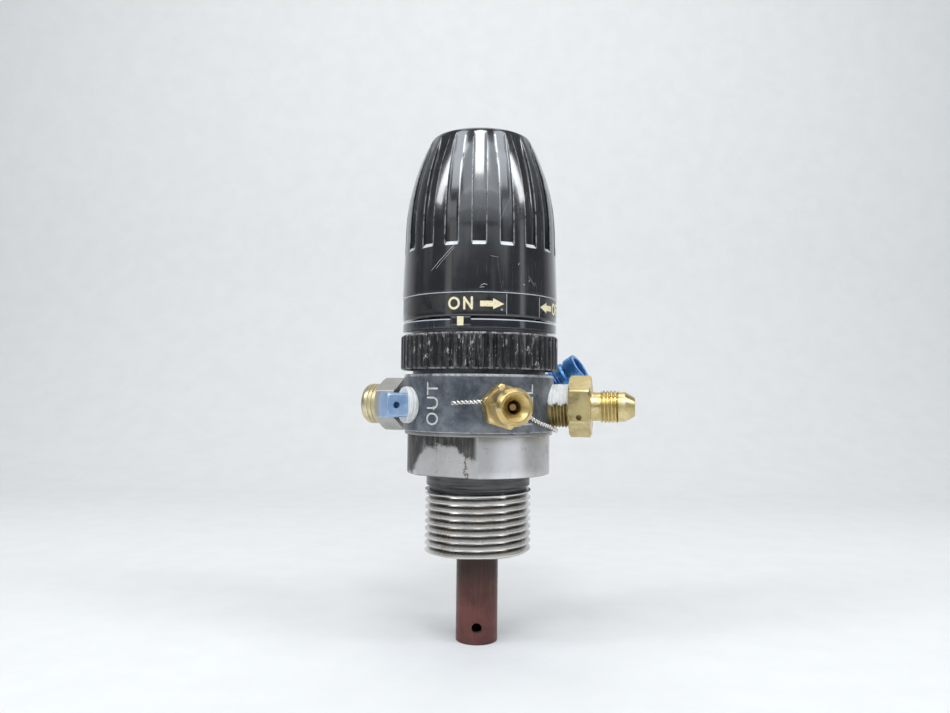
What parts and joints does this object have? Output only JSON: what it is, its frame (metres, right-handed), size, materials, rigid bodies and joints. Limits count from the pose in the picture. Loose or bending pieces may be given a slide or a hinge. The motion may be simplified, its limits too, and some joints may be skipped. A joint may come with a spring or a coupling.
{
  "type": "oxygen regulator",
  "caption": "Cylinder-mounted oxygen regulator with a fluted on/off knob, a knurled collar, a round port body with screwed fittings and a threaded stem.",
  "frame": {"origin": "on the main axis, at the shoulder under the wrench section that seats on the cylinder neck", "axes": "+Z along the main axis towards the knob, -Y out of the front between the fill port and the gauge plug"},
  "size_m": [0.0826, 0.0728, 0.1499],
  "materials": {
    "knob_black": "glossy moulded black with fine nicks",
    "ring_black": "glossy black anodised ring with rubbed edges",
    "collar_black": "matt black, dusty, chipped on the knurl",
    "body_anodised": "dark blue-grey anodised with bare edges",
    "bare_metal": "satin turned metal, stained",
    "tube_brown": "brown-mauve anodised tube",
    "brass": "dull golden brass",
    "bronze": "sintered or plain bronze",
    "steel": "plain steel",
    "dark_steel": "blackened steel",
    "rubber": "black seal rubber",
    "tape": "white thread seal tape",
    "plug_blue": "light blue anodised",
    "elbow_blue": "deep blue anodised",
    "relief_grey": "pale grey metal"
  },
  "bodies": {
    "body": {"index_ring": "ring_black", "ring_spacer": "dark_steel", "clamp_collar": "collar_black", "port_body": "body_anodised", "cylinder_stem": "bare_metal", "spacer_washer": "bare_metal", "debris_tube": "tube_brown", "bonnet": "bare_metal", "regulating_spring": "steel", "poppet_spring": "steel", "seat_insert": "brass", "inlet_filter": "bronze", "filter_ring": "steel", "body_seal": "rubber", "stop_pin": "steel", "knob_washer": "bronze", "thrust_washer": "bronze", "outlet_fitting": "brass", "outlet_tape": "tape", "fill_valve_body": "brass", "fill_spring": "steel", "gauge_plug": "plug_blue", "plug_tape": "tape", "relief_body": "relief_grey", "relief_cap": "brass", "elbow_fitting": "elbow_blue", "elbow_tape": "tape", "outlet_nipple": "elbow_blue", "lockwire_tail": "steel", "lockwire_run": "steel"},
    "knob": {"knob": "knob_black", "knob_cap": "knob_black", "knob_screw": "steel", "drive_spindle": "steel"},
    "follower": {"spring_follower": "brass"},
    "valve_train": {"regulating_piston": "brass", "piston_seal": "rubber", "poppet": "brass"},
    "fill_valve_pin": {"fill_pin": "brass"}
  },
  "joints": [
    {"name": "knob_turn", "type": "hinge", "parent": "body", "child": "knob", "pos_m": [0, 0, 0.084], "axis": [0, 0, 1], "range_deg": [-90, 0]},
    {"name": "follower_lift", "type": "slide", "parent": "body", "child": "follower", "axis": [0, 0, 1], "range_m": [0, 0.0024], "deforming": ["regulating_spring"]},
    {"name": "valve_close", "type": "slide", "parent": "body", "child": "valve_train", "axis": [0, 0, 1], "range_m": [0, 0.0008], "deforming": ["poppet_spring"]},
    {"name": "fill_pin_push", "type": "slide", "parent": "body", "child": "fill_valve_pin", "axis": [-0.2588, 0.9659, 0], "range_m": [0, 0.0012], "stiffness_N_per_m": 400, "springref_m": -0.002, "deforming": ["fill_spring"]}
  ],
  "couplings": [
    {"joint": "follower_lift", "follows": "knob_turn", "m_per_rad": -0.0015279},
    {"joint": "valve_close", "follows": "knob_turn", "m_per_rad": -0.0005093}
  ]
}
